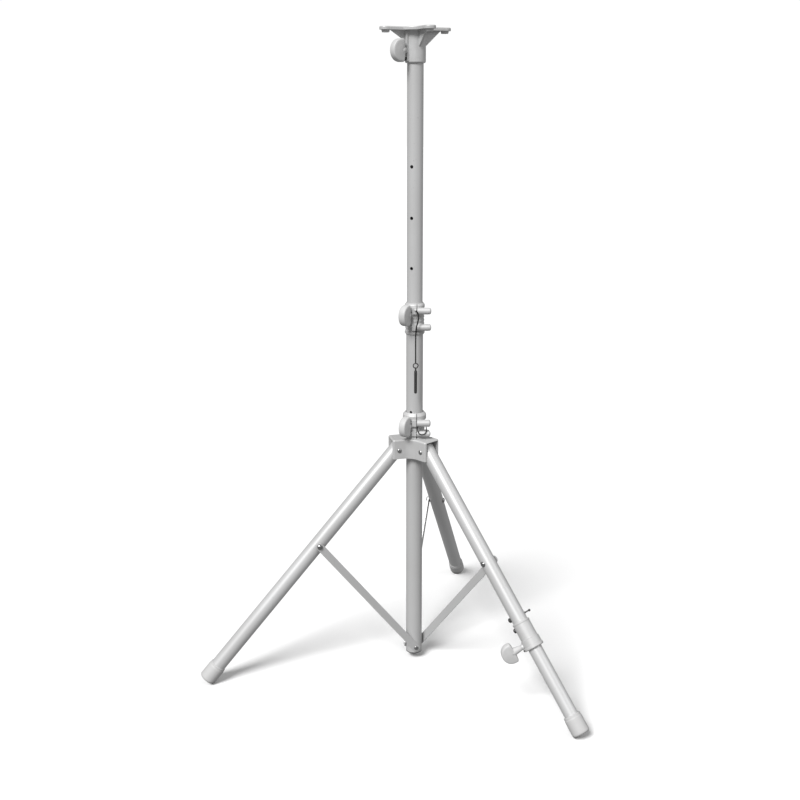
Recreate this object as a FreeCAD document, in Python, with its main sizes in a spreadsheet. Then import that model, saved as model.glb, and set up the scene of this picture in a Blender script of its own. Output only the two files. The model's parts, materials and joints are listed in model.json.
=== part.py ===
import FreeCAD, Part
import Sketcher
import os
from math import atan2, cos, hypot, pi, radians, sin, tan

# Tripod stand for a loudspeaker: a telescopic pole on a folding three-legged base.
# Origin: on the floor, at the centre of the footprint's rectangle. +Z is up, +Y is towards leg 3.
# Leg 1 points to 210 degrees, leg 2 (the adjustable one) to 330 degrees and leg 3 to 90 degrees.

Vector = FreeCAD.Vector
doc = FreeCAD.newDocument("speaker_stand")
sheet = doc.addObject("Spreadsheet::Sheet", "Sizes")

SIZES = {
    # Centre tube and end plug
    "tube_diameter": 38.0, "tube_wall": 1.1, "tube_bottom": 18.0, "tube_top": 870.0,
    "plug_depth": 24.0, "plug_flange": 3.0, "pin_hole_diameter": 7.5, "hub_hole_height": 626.0,
    # Inner pole: 35 mm is the usual speaker pole size
    "pole_diameter": 35.0, "pole_wall": 1.5, "pole_bottom": 553.0, "pole_top": 1448.0,
    "hole_top": 1173.5, "hole_pitch": 109.5, "hole_azimuth": -101.0, "bush_height": 8.0,
    # Speaker plate
    "plate_top": 1458.0, "plate_thickness": 6.5, "plate_core_radius": 35.0, "arm_width": 25.0,
    "lobe_radius": 13.0, "lobe_circle": 68.0, "lobe_boss_radius": 9.0, "lobe_boss_drop": 5.5,
    "bolt_hole_radius": 3.3, "socket_radius": 22.0, "socket_bore": 17.58, "socket_bottom": 1386.5,
    "gusset_reach": 58.0, "gusset_bottom": 1419.0, "gusset_thickness": 4.5, "arm_azimuth": 39.4,
    "pad_width": 10.0, "pad_azimuth": -127.0, "pad_reach": 25.5,
    # Clamps: both collars and their knobs
    "clamp_turn": 14.4, "bolt_radius": 2.5, "ear_left": 6.0, "slit_near": 4.2, "slit_far": 5.8,
    "boss_reach": 30.0, "upper_bottom": 806.0, "upper_top": 876.0, "upper_bolt_offset": 23.5,
    "upper_bolt_high": 861.5, "upper_bolt_low": 824.5, "upper_body_radius": 21.4,
    "lower_body_radius": 23.4, "lower_ring_radius": 26.8, "lower_top": 624.0,
    "lower_bolt_offset": 25.0, "lower_bolt_high": 602.5, "lower_bolt_low": 577.5,
    # Wing knobs and their screws
    "wing_half_height": 23.5, "wing_depth": 30.0, "wing_half_thickness": 9.0, "screw_radius": 4.0,
    "knob_azimuth": -105.6, "wing_start": 30.0, "upper_knob_height": 853.0, "lower_knob_height": 596.0,
    "plate_knob_height": 1411.0, "plate_wing_start": 32.5, "leg_wing_start": 43.0,
    # Hub
    "hub_bore": 20.2, "hub_half_width": 23.0, "hub_reach": 57.0, "hub_top_rise": 26.0,
    "hub_drop": 20.0, "hub_ceiling": 3.0, "hub_slot_half": 17.9, "hub_slot_start": 22.2,
    "hub_web_radius": 30.0, "hub_edge_round": 4.0, "pivot_radius": 41.6, "pivot_pin_radius": 3.0,
    # Legs
    "lean": 41.05, "leg_length": 700.0, "leg_radius": 17.2, "leg_wall": 1.5, "leg_head": 8.0,
    "foot_radius": 19.75, "foot_length": 44.0, "foot_round": 5.0,
    # Struts
    "strut_pivot": 288.0, "strut_width": 17.0, "strut_thickness": 3.0, "strut_offset": 19.3,
    "strut_foot_height": 32.0, "rivet_radius": 4.0, "open_play": 1.5,
    # Adjustable leg
    "inner_leg_radius": 15.4, "inner_leg_wall": 1.5, "inner_leg_top": 362.0, "outer_leg_end": 479.0,
    "sleeve_top": 434.0, "sleeve_step": 474.0, "sleeve_bottom": 497.0, "sleeve_radius": 19.5,
    "sleeve_collar_radius": 21.8, "leg_knob_place": 484.0, "leg_knob_turn": 132.0,
    "leg_pin_place": 422.0, "leg_pin_radius": 2.0, "leg_travel_in": 70.0, "leg_travel_out": 48.0,
    # Fits
    "running_gap": 0.05, "easy_gap": 0.1,
}

for row, (alias, value) in enumerate(SIZES.items(), start=1):
    sheet.set(f"A{row}", alias)
    sheet.set(f"B{row}", str(value))
    sheet.setAlias(f"B{row}", alias)
doc.recompute()


class Size:
    """A driving dimension, or a sum of some, with its number and its spreadsheet formula."""

    def __init__(self, number, formula):
        self.number, self.formula = float(number), formula

    def __float__(self):
        return self.number

    def combine(self, other, sign, number):
        right = other.formula if isinstance(other, Size) else repr(float(other))
        return Size(number, f"({self.formula} {sign} {right})")

    def __add__(self, other):
        return self.combine(other, "+", self.number + float(other))

    def __sub__(self, other):
        return self.combine(other, "-", self.number - float(other))

    def __mul__(self, other):
        return self.combine(other, "*", self.number * float(other))

    def __truediv__(self, other):
        return self.combine(other, "/", self.number / float(other))

    def __rsub__(self, other):
        return constant(other) - self

    def __neg__(self):
        return self * -1


class Sheet:
    """Gives each alias of the spreadsheet as a Size."""

    def __getattr__(self, alias):
        return Size(sheet.get(alias), "Sizes." + alias)


size = Sheet()


def constant(value):
    return value if isinstance(value, Size) else Size(value, repr(float(value)))


def bind(thing, **properties):
    for name, value in properties.items():
        thing.setExpression(name, constant(value).formula)
    return thing


def frame_on(origin, z_axis, x_axis):
    """The placement whose local Z and X lie along the two axes."""
    z_axis = Vector(z_axis).normalize()
    x_axis = Vector(x_axis).normalize()
    y_axis = z_axis.cross(x_axis)
    matrix = FreeCAD.Matrix(
        x_axis.x, y_axis.x, z_axis.x, origin.x,
        x_axis.y, y_axis.y, z_axis.y, origin.y,
        x_axis.z, y_axis.z, z_axis.z, origin.z,
        0, 0, 0, 1)
    return FreeCAD.Placement(matrix)


def direction(azimuth):
    return Vector(cos(radians(azimuth)), sin(radians(azimuth)), 0)


def at(x=0.0, y=0.0, z=0.0):
    return FreeCAD.Placement(Vector(float(x), float(y), float(z)), FreeCAD.Rotation())


def turn_about_z(angle):
    return FreeCAD.Placement(Vector(), FreeCAD.Rotation(Vector(0, 0, 1), angle))


def along(azimuth, height, start=0.0):
    """Local Z points outwards at an azimuth, local X points up."""
    out = direction(float(azimuth))
    return frame_on(out * float(start) + Vector(0, 0, float(height)), out, Vector(0, 0, 1))


# ---- Shape builders ---------------------------------------------------------------------------

def cylinder(name, radius, length, place=None):
    made = bind(doc.addObject("Part::Cylinder", name), Radius=radius, Height=length)
    made.Placement = place or at()
    return made


def cone(name, first, second, length, place=None):
    made = bind(doc.addObject("Part::Cone", name), Radius1=first, Radius2=second, Height=length)
    made.Placement = place or at()
    return made


def block(name, length, width, height, place=None):
    made = bind(doc.addObject("Part::Box", name), Length=length, Width=width, Height=height)
    made.Placement = place or at()
    return made


def fused(name, pieces, place=None):
    made = doc.addObject("Part::MultiFuse", name)
    made.Shapes = pieces
    made.Refine = True
    made.Placement = place or at()
    return made


def cut(name, base, tools, place=None):
    made = doc.addObject("Part::Cut", name)
    made.Base = base
    made.Tool = tools[0] if len(tools) == 1 else fused(name + "_tools", tools)
    made.Placement = place or at()
    return made


def rounded(name, base, radius, chosen):
    """Fillets the edges of base for which chosen(edge) is true."""
    doc.recompute()
    made = doc.addObject("Part::Fillet", name)
    made.Base = base
    numbers = [i for i, edge in enumerate(base.Shape.Edges, start=1) if chosen(edge)]
    made.Edges = [(i, float(radius), float(radius)) for i in numbers]
    return made


def group(name, pieces):
    made = doc.addObject("Part::Compound", name)
    made.Links = pieces
    return made


def plane_of(body, role):
    return next(item for item in body.Origin.OriginFeatures if item.Role == role)


def turned(name, outline, place=None):
    """A turned piece: outline is its half section, (radius, height) pairs about local Z."""
    body = doc.addObject("PartDesign::Body", name)
    sketch = body.newObject("Sketcher::SketchObject", name + "_section")
    sketch.AttachmentSupport = [(plane_of(body, "XZ_Plane"), "")]
    sketch.MapMode = "FlatFace"
    corners = [(constant(r), constant(z)) for r, z in outline]
    points = [Vector(r.number, z.number, 0) for r, z in corners]
    count = len(points)
    for i, point in enumerate(points):
        sketch.addGeometry(Part.LineSegment(point, points[(i + 1) % count]), False)
    for i in range(count):
        join_lines(sketch, i, (i + 1) % count)
    for i, (radius, height) in enumerate(corners):
        place_point(sketch, i, "X", radius)
        place_point(sketch, i, "Y", height)
    spin = body.newObject("PartDesign::Revolution", name + "_turned")
    spin.Profile = sketch
    spin.ReferenceAxis = (sketch, ["V_Axis"])
    spin.Angle = 360.0
    body.Tip = spin
    body.Placement = place or at()
    return body


def join_lines(sketch, first, second):
    sketch.addConstraint(Sketcher.Constraint("Coincident", first, 2, second, 1))


def place_point(sketch, line, axis, value):
    """Dimensions the start of a line from the sketch's origin, or ties it to the other axis."""
    if abs(value.number) < 1e-9:
        sketch.addConstraint(Sketcher.Constraint("PointOnObject", line, 1, -2 if axis == "X" else -1))
        return
    index = sketch.addConstraint(
        Sketcher.Constraint("Distance" + axis, -1, 1, line, 1, value.number))
    sketch.setExpression(f"Constraints[{index}]", value.formula)


def dome(name, radius, height, shank_radius, shank, place):
    """A round-headed fastener: the head stands on local Z = 0, the shank runs down from it."""
    return turned(name, [
        (0.0, -constant(shank)), (shank_radius, -constant(shank)), (shank_radius, 0.0), (radius, 0.0),
        (radius, constant(height) * 0.35), (constant(radius) * 0.75, constant(height) * 0.8),
        (constant(radius) * 0.3, height), (0.0, height)], place)


# ---- Where things are -------------------------------------------------------------------------

lean = radians(float(size.lean))
foot_core = float(size.foot_radius - size.foot_round)
foot_travel = float(size.leg_length - size.foot_round)
hub_height = foot_travel * cos(lean) + foot_core * sin(lean) + float(size.foot_round)

# The feet mark out the footprint; the pole stands in front of its centre.
foot_centre = float(size.pivot_radius) + foot_travel * sin(lean)
back_reach = foot_centre + foot_core * cos(lean) + float(size.foot_round)
front_reach = foot_centre / 2 + foot_core * (1 - (sin(lean) / 2) ** 2) ** 0.5
front_reach += float(size.foot_round)
POLE = at(0, -(back_reach - front_reach) / 2, 0)

LEG_AZIMUTHS = {"1": 210.0, "2": 330.0, "3": 90.0}

# Each strut is a straight bar from the foot of the centre tube to a bolt through its leg.
strut_top_radius = float(size.pivot_radius) + float(size.strut_pivot) * sin(lean)
strut_top_height = hub_height - float(size.strut_pivot) * cos(lean)
strut_rise = strut_top_height - float(size.strut_foot_height)
strut_length = hypot(strut_top_radius, strut_rise)
strut_angle = atan2(strut_top_radius, strut_rise)


def leg_frame(azimuth):
    """Origin on the leg's hub pivot, Z back up the leg, X along the pivot bolt, Y inwards."""
    out, across = direction(azimuth), direction(azimuth + 90)
    pivot = out * float(size.pivot_radius) + Vector(0, 0, hub_height)
    return POLE * frame_on(pivot, out * -sin(lean) + Vector(0, 0, cos(lean)), across)


def strut_frame(azimuth):
    """Origin on the pole's axis at the strut's lower rivet, Z up the bar, X along the rivet."""
    out, across = direction(azimuth), direction(azimuth + 90)
    low = Vector(0, 0, float(size.strut_foot_height))
    return POLE * frame_on(low, out * sin(strut_angle) + Vector(0, 0, cos(strut_angle)), across)


CLAMP = POLE * turn_about_z(float(size.clamp_turn))
ACROSS = frame_on(Vector(), Vector(1, 0, 0), Vector(0, 1, 0))
nodes = {}


def piece(name, made, place=None):
    """Names a finished sub-part, and puts it in the stand's frame."""
    made.Label = name
    if place is not None:
        made.Placement = place * made.Placement
    nodes[name] = made
    return made


# ---- Centre tube ------------------------------------------------------------------------------

tube_radius = size.tube_diameter / 2
tube_bore = tube_radius - size.tube_wall
tube_length = size.tube_top - size.tube_bottom
tube = cut("tube_blank", cylinder("tube_outside", tube_radius, tube_length, at(z=size.tube_bottom)),
           [cylinder("tube_inside", tube_bore, tube_length, at(z=size.tube_bottom))])
rivet_azimuths = [azimuth + 90 for azimuth in LEG_AZIMUTHS.values()]
tube_holes = [
    cylinder("hub_pin_hole", size.pin_hole_diameter * 0.4, tube_radius * 2,
             along(size.hole_azimuth, size.hub_hole_height)),
    cylinder("clamp_pad_hole", size.screw_radius + size.easy_gap, tube_radius * 2,
             along(size.knob_azimuth, size.upper_knob_height))]
tube_holes += [cylinder("rivet_hole", size.rivet_radius + size.running_gap, tube_radius * 2,
                        along(azimuth, size.strut_foot_height)) for azimuth in rivet_azimuths]
piece("outer_tube", cut("outer_tube", tube, tube_holes), POLE)

end_plug = turned("end_plug_blank", [
    (0.0, size.tube_bottom - size.plug_flange), (tube_radius - 1.5, size.tube_bottom - size.plug_flange),
    (tube_radius, size.tube_bottom - size.plug_flange + 1.2), (tube_radius, size.tube_bottom),
    (tube_bore, size.tube_bottom), (tube_bore, size.tube_bottom + size.plug_depth),
    (0.0, size.tube_bottom + size.plug_depth)])
plug_holes = [cylinder("plug_hole", size.rivet_radius + size.running_gap, tube_radius,
                       along(azimuth, size.strut_foot_height, 12.0)) for azimuth in rivet_azimuths]
piece("tube_end_plug", cut("tube_end_plug", end_plug, plug_holes), POLE)

strut_outer_face = size.strut_offset + size.strut_thickness
rivet_head_start = strut_outer_face + 0.2
piece("strut_foot_rivets", group("strut_foot_rivets", [
    dome("strut_foot_rivet", 5.5, 2.6, size.rivet_radius, rivet_head_start - 13.0,
         POLE * along(azimuth, size.strut_foot_height, rivet_head_start))
    for azimuth in rivet_azimuths]))

# ---- Clamp collars: split cast rings with two bolts across the slit, which faces -Y ------------


def ribbed_wall(radius, bottom, top, ribs, depth):
    """The outer wall of a collar, from bottom to top, with square grooves between its ribs."""
    pitch = (top - bottom) / ribs
    wall = []
    for i in range(ribs):
        base = bottom + pitch * i
        wall += [(radius - depth, base), (radius - depth, base + pitch * 0.4),
                 (radius, base + pitch * 0.5), (radius, base + pitch * 0.9)]
    return wall


def clamp_collar(name, ring, bore, bolts, bolt_offset, boss_sizes, knob_height, body_radius):
    """Adds an ear and a boss for each bolt, a knob boss and the slit to a turned ring."""
    front = bolt_offset + 3.6
    bottom = bolts[-1] - 30
    solids = [ring,
              cylinder(name + "_knob_boss", size.screw_radius + 4.5, 9.0,
                       along(size.knob_azimuth - size.clamp_turn, knob_height, body_radius - 4.0))]
    holes = [cylinder(name + "_bore", bore, 100.0, at(z=bottom)),
             block(name + "_slit", size.slit_far - size.slit_near, 26.0, 100.0,
                   at(size.slit_near, -40.0, bottom)),
             cylinder(name + "_screw_hole", size.screw_radius + size.running_gap, 40.0,
                      along(size.knob_azimuth - size.clamp_turn, knob_height))]
    for i, (height, boss) in enumerate(zip(bolts, boss_sizes)):
        line = at(y=-bolt_offset, z=height) * ACROSS
        ear = boss - 0.8
        solids.append(block(f"{name}_ear_{i}", size.ear_left + size.slit_near, front - bore, ear * 2,
                            at(-size.ear_left, -front, height - ear)))
        solids.append(cylinder(f"{name}_boss_{i}", boss, size.boss_reach - size.slit_far,
                               line * at(z=size.slit_far)))
        holes.append(cylinder(f"{name}_bolt_hole_{i}", size.bolt_radius + size.easy_gap, 60.0,
                              line * at(z=-15.0)))
        holes.append(cylinder(f"{name}_head_seat_{i}", 4.6, 14.0, line * at(z=-size.ear_left - 14)))
    return cut(name, fused(name + "_solid", solids), holes)


def clamp_bolts(name, bolts, bolt_offset):
    """Cap screws from the left ear through to the domed nuts."""
    return group(name, [
        turned(f"{name}_{i}", [(0.0, -9.2), (2.0, -9.2), (4.4, -8.2), (4.4, -size.ear_left),
                               (size.bolt_radius, -size.ear_left), (size.bolt_radius, 33.0), (0.0, 33.0)],
               CLAMP * at(y=-bolt_offset, z=height) * ACROSS)
        for i, height in enumerate(bolts)])


def clamp_nuts(name, bolts, bolt_offset, radii):
    """Domed nuts on the ends of the bosses."""
    return group(name, [
        turned(f"{name}_{i}", [
            (size.bolt_radius, 30.0), (radius, 30.0), (radius, 33.2), (radius * 0.85, 35.4),
            (radius * 0.45, 36.6), (0.0, 36.8), (0.0, 33.0), (size.bolt_radius, 33.0)],
            CLAMP * at(y=-bolt_offset, z=height) * ACROSS)
        for i, (height, radius) in enumerate(zip(bolts, radii))])


# Upper clamp: sits on the tube's top end and grips the inner pole.
upper_bolts = [size.upper_bolt_high, size.upper_bolt_low]
upper_outer = size.upper_body_radius + 1.0
upper_ring = turned("upper_ring", [
    (0.0, size.upper_bottom), (upper_outer - 2.0, size.upper_bottom),
    (upper_outer, size.upper_bottom + 2.5), (upper_outer, size.upper_bottom + 7.0),
    (upper_outer - 2.0, size.upper_bottom + 9.5)]
    + ribbed_wall(size.upper_body_radius, size.upper_bottom + 10.0, size.upper_top - 12.0, 6, 0.9) + [
    (upper_outer - 2.0, size.upper_top - 11.5), (upper_outer, size.upper_top - 9.0),
    (upper_outer, size.upper_top - 4.0), (upper_outer - 1.2, size.upper_top - 1.2),
    (upper_outer - 3.0, size.upper_top), (0.0, size.upper_top)])
upper_solid = clamp_collar("upper_collar_ears", upper_ring, tube_radius + size.running_gap,
                           upper_bolts, size.upper_bolt_offset, [constant(7.6), constant(7.6)],
                           size.upper_knob_height, size.upper_body_radius)
piece("upper_clamp_collar", upper_solid, CLAMP)
piece("upper_clamp_bolts", clamp_bolts("upper_clamp_bolts", upper_bolts, size.upper_bolt_offset))
piece("upper_clamp_nuts", clamp_nuts("upper_clamp_nuts", upper_bolts, size.upper_bolt_offset,
                                     [7.4, 7.4]))
pole_radius = size.pole_diameter / 2
piece("pole_bearing_ring", turned("pole_bearing_ring", [
    (pole_radius + size.running_gap, size.tube_top), (tube_radius, size.tube_top),
    (tube_radius, size.upper_top), (pole_radius + 0.8, size.upper_top + 1.6),
    (pole_radius + size.running_gap, size.upper_top + 1.6)]), POLE)
piece("upper_clamp_pad", cylinder("upper_clamp_pad", size.screw_radius - 0.1, 2.4, along(
    size.knob_azimuth, size.upper_knob_height, pole_radius + size.running_gap)), POLE)

# ---- Inner pole -------------------------------------------------------------------------------

pole_length = size.pole_top - size.pole_bottom
pole_bore = pole_radius - size.pole_wall
pole_blank = cut("pole_blank", cylinder("pole_outside", pole_radius, pole_length, at(z=size.pole_bottom)),
                 [cylinder("pole_inside", pole_bore, pole_length, at(z=size.pole_bottom))])
pole_holes = [cylinder("pole_hole", size.pin_hole_diameter / 2, size.pole_diameter * 2,
                       along(size.hole_azimuth, size.hole_top - size.hole_pitch * i, -pole_length / 20))
              for i in range(6)]
piece("inner_pole", cut("inner_pole", pole_blank, pole_holes), POLE)
piece("pole_guide_bush", turned("pole_guide_bush", [
    (pole_bore - 3.0, size.pole_bottom - size.bush_height),
    (tube_bore - 0.7, size.pole_bottom - size.bush_height),
    (tube_bore - size.easy_gap, size.pole_bottom - size.bush_height + 1),
    (tube_bore - size.easy_gap, size.pole_bottom), (pole_bore, size.pole_bottom),
    (pole_bore, size.pole_bottom + 18), (pole_bore - 3.0, size.pole_bottom + 18)]), POLE)
piece("pole_top_plug", turned("pole_top_plug", [
    (0.0, size.pole_top - 12), (pole_bore, size.pole_top - 12), (pole_bore, size.pole_top),
    (pole_radius - 0.4, size.pole_top), (pole_radius - 1.4, size.pole_top + 2),
    (0.0, size.pole_top + 2)]), POLE)

# ---- Speaker plate: four arms on a socket that drops over the pole -----------------------------

plate_bottom = size.plate_top - size.plate_thickness
plate_solids = [cylinder("plate_core", size.plate_core_radius, size.plate_thickness, at(z=plate_bottom))]
plate_bosses, plate_holes, gussets = [], [], []
for i in range(4):
    turn = turn_about_z(float(size.arm_azimuth) + 90 * i)
    plate_solids.append(block(f"plate_arm_{i}", size.lobe_circle, size.arm_width, size.plate_thickness,
                              turn * at(0, -size.arm_width / 2, plate_bottom)))
    plate_solids.append(cylinder(f"plate_lobe_{i}", size.lobe_radius, size.plate_thickness,
                                 turn * at(size.lobe_circle, 0, plate_bottom)))
    plate_bosses.append(cone(f"plate_boss_{i}", size.lobe_boss_radius - 1.5, size.lobe_boss_radius,
                             size.lobe_boss_drop,
                             turn * at(size.lobe_circle, 0, plate_bottom - size.lobe_boss_drop)))
    plate_holes.append(cylinder(f"plate_hole_{i}", size.bolt_hole_radius, 20.0,
                                turn * at(size.lobe_circle, 0, plate_bottom - 10)))
    # The third arm's gusset stops short, to leave room for the wing knob beside it.
    gusset_low = size.gusset_bottom + (10.0 if i == 2 else 0.0)
    gusset = doc.addObject("Part::Wedge", f"plate_gusset_{i}")
    bind(gusset, Ymin=0.0, Ymax=plate_bottom - gusset_low, Xmin=0.0, X2min=0.0,
         Xmax=size.socket_radius, X2max=size.gusset_reach, Zmin=0.0, Z2min=0.0,
         Zmax=size.gusset_thickness, Z2max=size.gusset_thickness)
    stand_up = FreeCAD.Rotation(Vector(1, 0, 0), 90)
    gusset.Placement = turn * FreeCAD.Placement(
        Vector(0, float(size.gusset_thickness) / 2, float(gusset_low)), stand_up)
    gussets.append(gusset)
plate_outline = fused("plate_outline", plate_solids)


def on_plate_rim(edge):
    box = edge.BoundBox
    return box.ZLength < 0.01 and abs(box.ZMin - float(size.plate_top)) < 0.01


plate_round = rounded("plate_rounded", plate_outline, 2.2, on_plate_rim)
socket = turned("socket", [
    (size.socket_radius - 5, size.socket_bottom), (size.socket_radius - 1.5, size.socket_bottom),
    (size.socket_radius, size.socket_bottom + 2), (size.socket_radius, plate_bottom + 1),
    (size.socket_radius - 5, plate_bottom + 1)])
pad = block("socket_pad", size.pad_reach - size.socket_radius + 3, size.pad_width,
            plate_bottom - size.socket_bottom - 3,
            turn_about_z(float(size.pad_azimuth))
            * at(size.socket_radius - 3, -size.pad_width / 2, size.socket_bottom + 3.5))
socket_bore = cylinder("socket_bore", size.socket_bore, size.pole_top + 2 - size.socket_bottom,
                       at(z=size.socket_bottom))
plate_screw_hole = cylinder("plate_screw_hole", size.screw_radius + size.running_gap, 40.0,
                            along(size.pad_azimuth, size.plate_knob_height))
set_screw_hole = cylinder("set_screw_hole", 2.0, 6.0,
                          along(size.pad_azimuth, size.socket_bottom + 8, size.pad_reach - 6))
plate = cut("speaker_plate", fused("plate_solid", [plate_round, socket, pad] + plate_bosses + gussets),
            [socket_bore, plate_screw_hole, set_screw_hole] + plate_holes)
piece("speaker_plate", plate, POLE)
piece("socket_set_screw", dome("socket_set_screw", 3.6, 2.4, 2.0, 5.0,
                               along(size.pad_azimuth, size.socket_bottom + 8, size.pad_reach)), POLE)

# ---- Wing knobs: a D-shaped grip moulded round the head of its screw -----------------------------


def wing_knob(name, stem_length, stem_tip):
    """Local Z is the screw's axis, outwards; the grip's flat back is at Z = 0."""
    grip = doc.addObject("Part::Ellipsoid", name + "_grip")
    bind(grip, Radius1=size.wing_depth, Radius2=size.wing_half_height * 1.12,
         Radius3=size.wing_half_thickness * 1.5)
    flats = block(name + "_flats", size.wing_half_height * 2, size.wing_half_thickness * 2,
                  size.wing_depth, at(-size.wing_half_height, -size.wing_half_thickness, 0))
    sides = doc.addObject("Part::Common", name + "_sides")
    sides.Base, sides.Tool = grip, flats
    stem = cone(name + "_stem", stem_tip, 8.8, stem_length + 4, at(z=-stem_length))
    return cut(name, fused(name + "_solid", [sides, stem]),
               [cylinder(name + "_bore", size.screw_radius, stem_length + 14.0, at(z=-stem_length - 2))])


def knob_screw(name, tip):
    """The screw from its tip, at local Z = tip, into the grip."""
    return turned(name, [(0.0, tip), (size.screw_radius - 1, tip), (size.screw_radius, tip + 1),
                         (size.screw_radius, 12.0), (0.0, 12.0)])


KNOBS = {
    "plate": (size.pad_azimuth, size.plate_knob_height, size.plate_wing_start, 6.0, 6.6),
    "upper_clamp": (size.knob_azimuth, size.upper_knob_height, size.wing_start, 3.2, 7.2),
    "lower_clamp": (size.knob_azimuth, size.lower_knob_height, size.wing_start, 1.2, 7.2),
}
SCREW_TIPS = {"plate": -14.6, "upper_clamp": -9.8, "lower_clamp": -6.6}
for knob, (azimuth, height, start, stem_length, stem_tip) in KNOBS.items():
    seat = POLE * along(azimuth, height, start)
    piece(knob + "_knob", wing_knob(knob + "_knob", constant(stem_length), stem_tip), seat)
    piece(knob + "_screw", knob_screw(knob + "_screw", constant(SCREW_TIPS[knob])), seat)

# ---- Hub: three inverted channels round a bore that rides on the centre tube ---------------------

hub_bottom = hub_height - float(size.hub_drop)
hub_depth = size.hub_top_rise + size.hub_drop
LEG_TURNS = {leg: turn_about_z(azimuth) for leg, azimuth in LEG_AZIMUTHS.items()}
hub_arms = [block(f"hub_arm_{leg}", size.hub_reach, size.hub_half_width * 2, hub_depth,
                  turn * at(0, -size.hub_half_width, hub_bottom)) for leg, turn in LEG_TURNS.items()]
hub_star = fused("hub_star", hub_arms)


def upright(edge):
    return edge.BoundBox.ZLength > float(hub_depth) - 0.01


def edge_radius(edge):
    middle = edge.valueAt((edge.FirstParameter + edge.LastParameter) / 2)
    return hypot(middle.x, middle.y)


def on_hub_top(edge):
    box = edge.BoundBox
    return box.ZLength < 0.01 and abs(box.ZMin - hub_bottom - float(hub_depth)) < 0.01


hub_webs = rounded("hub_webs", hub_star, size.hub_web_radius,
                   lambda edge: upright(edge) and edge_radius(edge) < float(size.hub_reach) / 2)
hub_corners = rounded("hub_corners", hub_webs, size.hub_edge_round * 1.2,
                      lambda edge: upright(edge) and edge_radius(edge) > float(size.hub_reach))
hub_blank = rounded("hub_blank", hub_corners, size.hub_edge_round, on_hub_top)
slot_depth = hub_depth - size.hub_ceiling
hub_cuts = [cylinder("hub_bore_cut", size.hub_bore, 120.0, at(z=hub_bottom - 20))]
for leg, turn in LEG_TURNS.items():
    hub_cuts.append(block(f"hub_slot_{leg}", size.hub_reach, size.hub_slot_half * 2, slot_depth + 10,
                          turn * at(size.hub_slot_start, -size.hub_slot_half, hub_bottom - 10)))
    hub_cuts.append(cylinder(f"hub_bolt_hole_{leg}", size.pivot_pin_radius + 0.02, 60.0,
                             turn * at(size.pivot_radius, 30.0, hub_height)
                             * FreeCAD.Placement(Vector(), FreeCAD.Rotation(Vector(1, 0, 0), 90))))
piece("hub_casting", cut("hub_casting", hub_blank, hub_cuts), POLE)


def pivot_line(azimuth, side):
    """Along a leg's hub bolt, outwards on one side, from the face of the hub's wall."""
    out, across = direction(azimuth), direction(azimuth + 90) * side
    face = out * float(size.pivot_radius) + across * float(size.hub_half_width)
    return POLE * frame_on(face + Vector(0, 0, hub_height), across, Vector(0, 0, 1))


piece("hub_pivot_bolts", group("hub_pivot_bolts", [
    dome("hub_pivot_bolt", 5.2, 2.8, size.pivot_pin_radius, size.hub_half_width * 2 + 1.6,
         pivot_line(azimuth, 1)) for azimuth in LEG_AZIMUTHS.values()]))
piece("hub_pivot_nuts", group("hub_pivot_nuts", [
    turned("hub_pivot_nut", [(size.pivot_pin_radius, 0.0), (5.2, 0.0), (5.2, 1.0), (3.9, 2.3), (1.6, 2.9),
                             (0.0, 2.9), (0.0, 1.6), (size.pivot_pin_radius, 1.6)],
           pivot_line(azimuth, -1)) for azimuth in LEG_AZIMUTHS.values()]))

# Lower clamp: bolted down on the hub, locks it to the centre tube.
hub_top = hub_bottom + float(hub_depth)
lower_bolts = [size.lower_bolt_high, size.lower_bolt_low]
lower_ring = turned("lower_ring", [
    (0.0, hub_top), (size.lower_body_radius + 2.0, hub_top),
    (size.lower_body_radius + 2.0, hub_top + 2.0), (size.lower_body_radius, hub_top + 4.0)]
    + ribbed_wall(size.lower_body_radius, constant(hub_top + 5), size.lower_top - 19, 4, 0.8) + [
    (size.lower_body_radius, size.lower_top - 18.5), (size.lower_ring_radius, size.lower_top - 16),
    (size.lower_ring_radius, size.lower_top - 6.5), (size.lower_ring_radius - 1.2, size.lower_top - 4.5),
    (size.hub_bore + 1.6, size.lower_top), (0.0, size.lower_top)])
lower_solid = clamp_collar("lower_collar_ears", lower_ring, size.hub_bore,
                           lower_bolts, size.lower_bolt_offset, [constant(8.0), constant(6.2)],
                           size.lower_knob_height, size.lower_body_radius)
piece("lower_clamp_collar", lower_solid, CLAMP)
piece("lower_clamp_bolts", clamp_bolts("lower_clamp_bolts", lower_bolts, size.lower_bolt_offset))
piece("lower_clamp_nuts", clamp_nuts("lower_clamp_nuts", lower_bolts, size.lower_bolt_offset,
                                     [8.2, 6.0]))
piece("lower_clamp_pad", cylinder("lower_clamp_pad", size.screw_radius - 0.1, 2.8, along(
    size.knob_azimuth, size.lower_knob_height, size.hub_bore + 0.2)), POLE)

# ---- Legs -------------------------------------------------------------------------------------

leg_bore = size.leg_radius - size.leg_wall
SIDEWAYS = frame_on(Vector(), Vector(1, 0, 0), Vector(0, 0, 1))


def leg_tube(name, end):
    """A leg's tube with its cross holes for the hub bolt and the strut bolt, end below the pivot."""
    outside = cylinder(name + "_outside", size.leg_radius, end + size.leg_head, at(z=-end))
    inside = cylinder(name + "_inside", leg_bore, end + size.leg_head, at(z=-end))
    return [outside, inside,
            cylinder(name + "_pivot_hole", size.pivot_pin_radius + size.running_gap, 60.0,
                     SIDEWAYS * at(z=-30.0)),
            cylinder(name + "_strut_hole", size.pivot_pin_radius + 0.02, 60.0,
                     at(z=-size.strut_pivot) * SIDEWAYS * at(z=-30.0))]


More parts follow.
